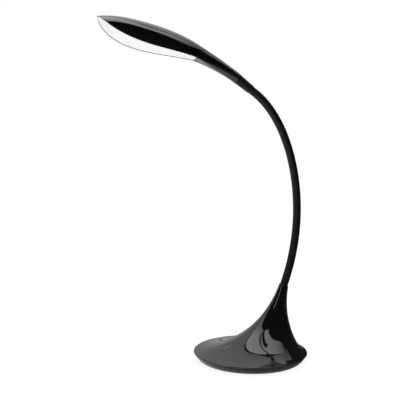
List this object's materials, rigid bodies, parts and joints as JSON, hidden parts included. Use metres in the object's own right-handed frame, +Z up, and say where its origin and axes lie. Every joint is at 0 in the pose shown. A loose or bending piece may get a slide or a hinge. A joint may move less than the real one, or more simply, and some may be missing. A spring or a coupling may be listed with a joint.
{
  "type": "gooseneck desk lamp",
  "caption": "Flexible-neck desk lamp with a trumpet-shaped weighted round base, a touch spot, a rubber-sleeved neck and a slim leaf-shaped head with a flat light panel underneath.",
  "frame": {"origin": "on the table, at the middle of the base's underside", "axes": "+Z up from the table, -X towards the user, where the head points, and XZ is the lamp's middle plane"},
  "size_m": [0.2726, 0.15, 0.439],
  "materials": {
    "gloss_abs": "high-gloss black ABS",
    "tray_abs": "satin black ABS",
    "foam_rubber": "non-slip foam",
    "ballast_iron": "rough cast iron",
    "steel": "zinc-plated steel",
    "brass": "turned brass",
    "circuit_board": "solder mask on glass-fibre board",
    "lead_pvc": "PVC insulation",
    "neck_rubber": "satin black rubber sleeve",
    "opal_acrylic": "opal acrylic light panel",
    "aluminium": "plain sheet aluminium",
    "led_board_white": "white solder mask",
    "led_phosphor": "LED phosphor"
  },
  "bodies": {
    "base": {"base_cover": "gloss_abs", "base_tray": "tray_abs", "base_pad": "foam_rubber", "ballast_plate": "ballast_iron", "ballast_screws": "steel", "tray_screws": "steel", "neck_bracket": "steel", "bracket_screws": "steel", "lower_ferrule": "brass", "control_board": "circuit_board", "board_components": "tray_abs", "board_screws": "steel", "touch_electrode": "brass", "touch_contact": "brass", "power_jack": "tray_abs", "power_jack_pin": "steel", "power_leads": "lead_pvc", "base_cable": "lead_pvc", "neck_core_root": "steel", "neck_sleeve_root": "neck_rubber"},
    "link_1": {"neck_cable_1": "lead_pvc", "neck_core_1": "steel", "neck_sleeve_1": "neck_rubber"},
    "link_2": {"neck_cable_2": "lead_pvc", "neck_core_2": "steel", "neck_sleeve_2": "neck_rubber"},
    "link_3": {"neck_cable_3": "lead_pvc", "neck_core_3": "steel", "neck_sleeve_3": "neck_rubber"},
    "link_4": {"neck_cable_4": "lead_pvc", "neck_core_4": "steel", "neck_sleeve_4": "neck_rubber"},
    "link_5": {"neck_cable_5": "lead_pvc", "neck_core_5": "steel", "neck_sleeve_5": "neck_rubber"},
    "link_6": {"neck_cable_6": "lead_pvc", "neck_core_6": "steel", "neck_sleeve_6": "neck_rubber"},
    "link_7": {"neck_cable_7": "lead_pvc", "neck_core_7": "steel", "neck_sleeve_7": "neck_rubber"},
    "link_8": {"neck_cable_8": "lead_pvc", "neck_core_8": "steel", "neck_sleeve_8": "neck_rubber"},
    "link_9": {"neck_cable_9": "lead_pvc", "neck_core_9": "steel", "neck_sleeve_9": "neck_rubber"},
    "head": {"neck_cable_tip": "lead_pvc", "neck_core_tip": "steel", "neck_sleeve_tip": "neck_rubber", "head_collar": "neck_rubber", "upper_ferrule": "brass", "head_cover": "gloss_abs", "head_underside": "gloss_abs", "diffuser": "opal_acrylic", "heat_spreader": "aluminium", "led_board": "led_board_white", "led_chips": "led_phosphor", "head_screws": "steel"}
  },
  "joints": [
    {"name": "neck_bend_1", "type": "hinge", "parent": "base", "child": "link_1", "pos_m": [0.04974, 0, 0.10544], "axis": [0, 1, 0], "range_deg": [-18, 18]},
    {"name": "neck_sway_1", "type": "hinge", "parent": "link_1", "child": "link_2", "pos_m": [0.05753, 0, 0.13357], "axis": [0.9761, 0, -0.2173], "range_deg": [-18, 18]},
    {"name": "neck_bend_2", "type": "hinge", "parent": "link_2", "child": "link_3", "pos_m": [0.06241, 0, 0.16235], "axis": [0, 1, 0], "range_deg": [-18, 18]},
    {"name": "neck_sway_2", "type": "hinge", "parent": "link_3", "child": "link_4", "pos_m": [0.06433, 0, 0.19147], "axis": [0.9999, 0, -0.0145], "range_deg": [-18, 18]},
    {"name": "neck_bend_3", "type": "hinge", "parent": "link_4", "child": "link_5", "pos_m": [0.06324, 0, 0.22064], "axis": [0, 1, 0], "range_deg": [-18, 18]},
    {"name": "neck_sway_3", "type": "hinge", "parent": "link_5", "child": "link_6", "pos_m": [0.05907, 0, 0.24952], "axis": [0.9806, 0, 0.1962], "range_deg": [-18, 18]},
    {"name": "neck_bend_4", "type": "hinge", "parent": "link_6", "child": "link_7", "pos_m": [0.05164, 0, 0.27774], "axis": [0, 1, 0], "range_deg": [-18, 18]},
    {"name": "neck_sway_4", "type": "hinge", "parent": "link_7", "child": "link_8", "pos_m": [0.04055, 0, 0.30473], "axis": [0.8951, 0, 0.4459], "range_deg": [-18, 18]},
    {"name": "neck_bend_5", "type": "hinge", "parent": "link_8", "child": "link_9", "pos_m": [0.0251, 0, 0.32945], "axis": [0, 1, 0], "range_deg": [-18, 18]},
    {"name": "neck_sway_5", "type": "hinge", "parent": "link_9", "child": "head", "pos_m": [0.00436, 0, 0.34988], "axis": [0.5967, 0, 0.8024], "range_deg": [-18, 18]}
  ]
}
